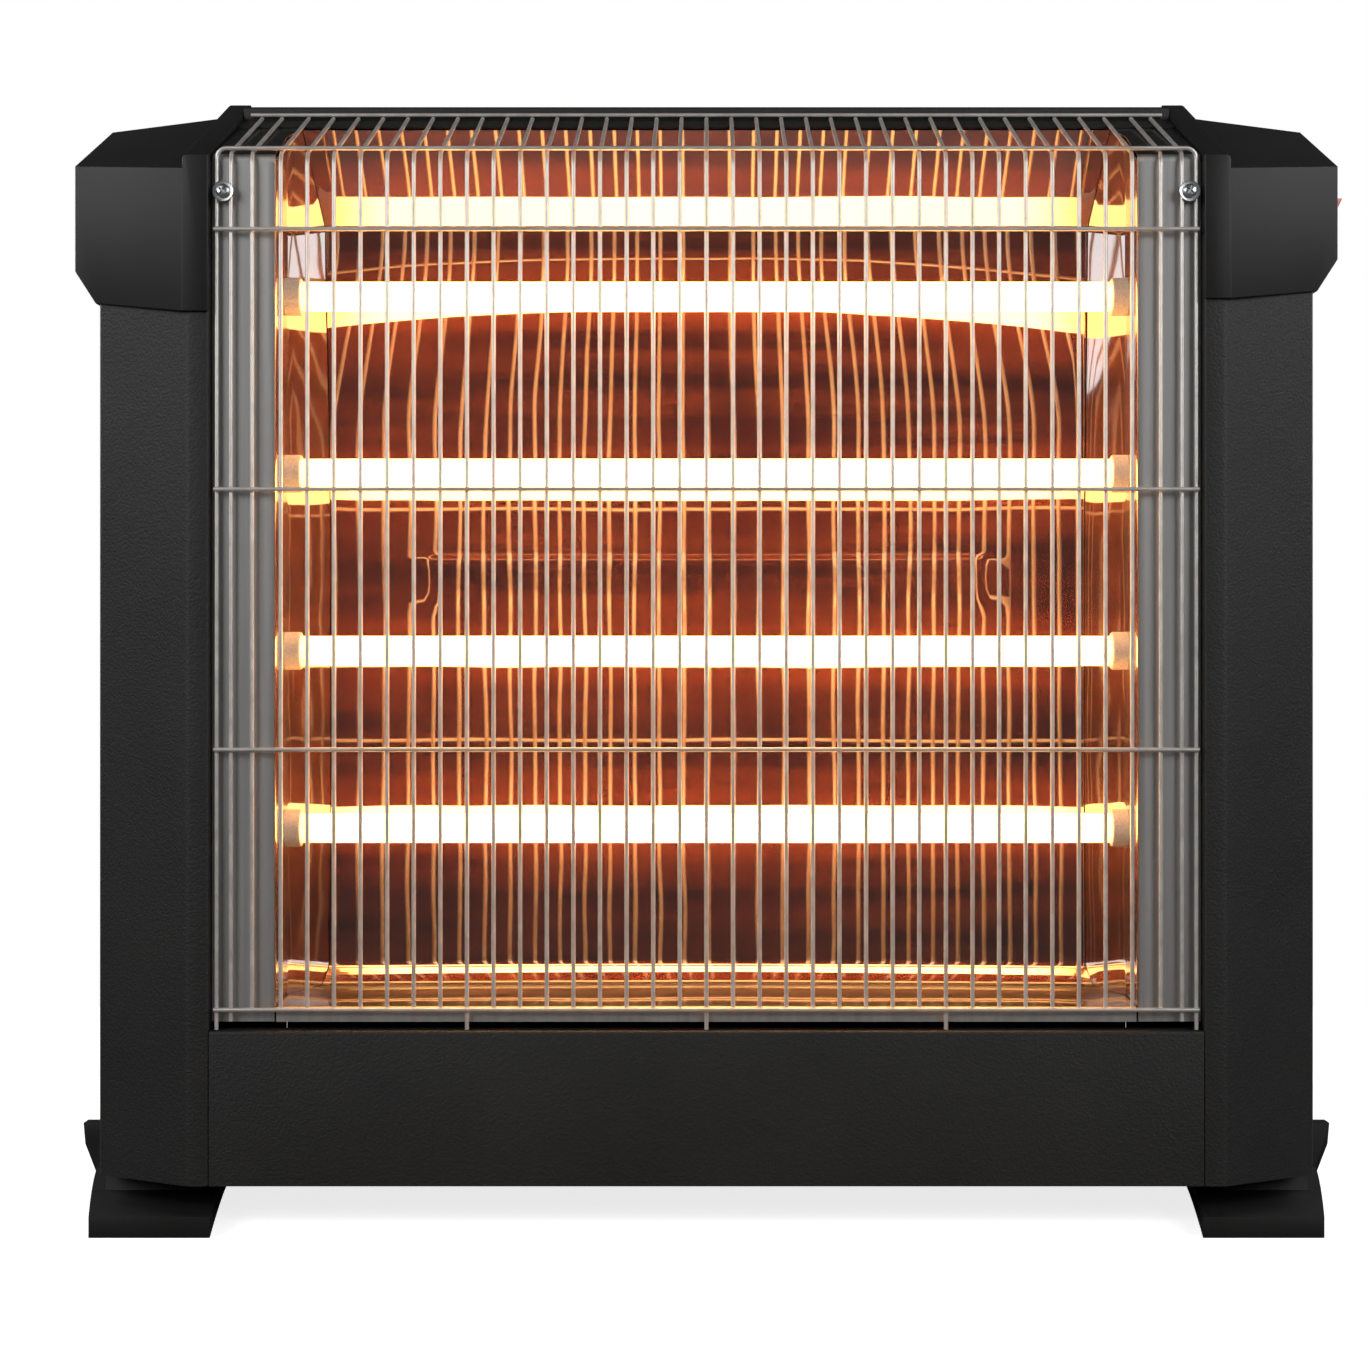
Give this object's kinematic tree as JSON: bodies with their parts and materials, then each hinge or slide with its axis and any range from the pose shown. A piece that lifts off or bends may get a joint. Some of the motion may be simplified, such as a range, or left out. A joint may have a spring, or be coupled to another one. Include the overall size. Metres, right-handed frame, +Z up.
{
  "type": "mini fireplace heater",
  "caption": "Free-standing double-sided quartz radiant heater: glowing tubes before bright reflectors, chromed wire guards, black end columns with caps, bowed feet and rocker switches.",
  "frame": {"origin": "on the floor, under the middle of the heater", "axes": "+X to the right of someone facing the front, along the width; +Y from the front to the rear; +Z up"},
  "size_m": [0.6246, 0.26, 0.5423],
  "materials": {
    "black_plastic": "smooth matt black moulding",
    "black_powder_coat": "textured black powder coat on sheet steel",
    "galvanised_steel": "zinc plated steel",
    "bright_reflector_steel": "bright rolled sheet, slightly wavy",
    "chromed_wire": "chromed steel wire",
    "resistance_wire": "glowing resistance wire",
    "quartz": "clear quartz glass, lit from inside",
    "white_ceramic": "unglazed white ceramic",
    "clear_red_plastic": "clear red plastic",
    "moulded_nylon": "natural nylon",
    "wire_insulation": "silicone wire insulation"
  },
  "bodies": {
    "heater": {"left_foot": "black_plastic", "left_column_cover": "black_powder_coat", "left_cap": "black_plastic", "right_foot": "black_plastic", "right_column_cover": "black_powder_coat", "right_cap": "black_plastic", "top_bar": "black_powder_coat", "bottom_plate": "galvanised_steel", "front_lower_panel": "black_powder_coat", "front_reflector": "bright_reflector_steel", "front_grille": "chromed_wire", "front_heating_coils": "resistance_wire", "front_tube_1": "quartz", "front_left_ceramic_1": "white_ceramic", "front_right_ceramic_1": "white_ceramic", "front_tube_2": "quartz", "front_left_ceramic_2": "white_ceramic", "front_right_ceramic_2": "white_ceramic", "front_tube_3": "quartz", "front_left_ceramic_3": "white_ceramic", "front_right_ceramic_3": "white_ceramic", "front_tube_4": "quartz", "front_left_ceramic_4": "white_ceramic", "front_right_ceramic_4": "white_ceramic", "front_left_side_sheet": "bright_reflector_steel", "front_left_grille_screw": "galvanised_steel", "front_right_side_sheet": "bright_reflector_steel", "front_right_grille_screw": "galvanised_steel", "rear_lower_panel": "black_powder_coat", "rear_reflector": "bright_reflector_steel", "rear_grille": "chromed_wire", "rear_heating_coils": "resistance_wire", "rear_tube_1": "quartz", "rear_left_ceramic_1": "white_ceramic", "rear_right_ceramic_1": "white_ceramic", "rear_tube_2": "quartz", "rear_left_ceramic_2": "white_ceramic", "rear_right_ceramic_2": "white_ceramic", "rear_tube_3": "quartz", "rear_left_ceramic_3": "white_ceramic", "rear_right_ceramic_3": "white_ceramic", "rear_tube_4": "quartz", "rear_left_ceramic_4": "white_ceramic", "rear_right_ceramic_4": "white_ceramic", "rear_left_side_sheet": "bright_reflector_steel", "rear_left_grille_screw": "galvanised_steel", "rear_right_side_sheet": "bright_reflector_steel", "rear_right_grille_screw": "galvanised_steel", "switch_body_1": "black_plastic", "switch_body_2": "black_plastic", "switch_body_3": "black_plastic", "switch_body_4": "black_plastic", "cord_gland": "black_plastic", "terminal_block": "moulded_nylon", "tip_over_switch": "black_plastic", "wiring_loom": "wire_insulation"},
    "rocker_1": {"rocker_1": "clear_red_plastic"},
    "rocker_2": {"rocker_2": "clear_red_plastic"},
    "rocker_3": {"rocker_3": "clear_red_plastic"},
    "rocker_4": {"rocker_4": "clear_red_plastic"}
  },
  "joints": [
    {"name": "rocker_1_tip", "type": "hinge", "parent": "heater", "child": "rocker_1", "pos_m": [0.298, -0.06, 0.4765], "axis": [0, -1, 0], "range_deg": [0, 24]},
    {"name": "rocker_2_tip", "type": "hinge", "parent": "heater", "child": "rocker_2", "pos_m": [0.298, -0.038, 0.4765], "axis": [0, -1, 0], "range_deg": [0, 24]},
    {"name": "rocker_3_tip", "type": "hinge", "parent": "heater", "child": "rocker_3", "pos_m": [0.298, 0.038, 0.4765], "axis": [0, -1, 0], "range_deg": [0, 24]},
    {"name": "rocker_4_tip", "type": "hinge", "parent": "heater", "child": "rocker_4", "pos_m": [0.298, 0.06, 0.4765], "axis": [0, -1, 0], "range_deg": [0, 24]}
  ]
}
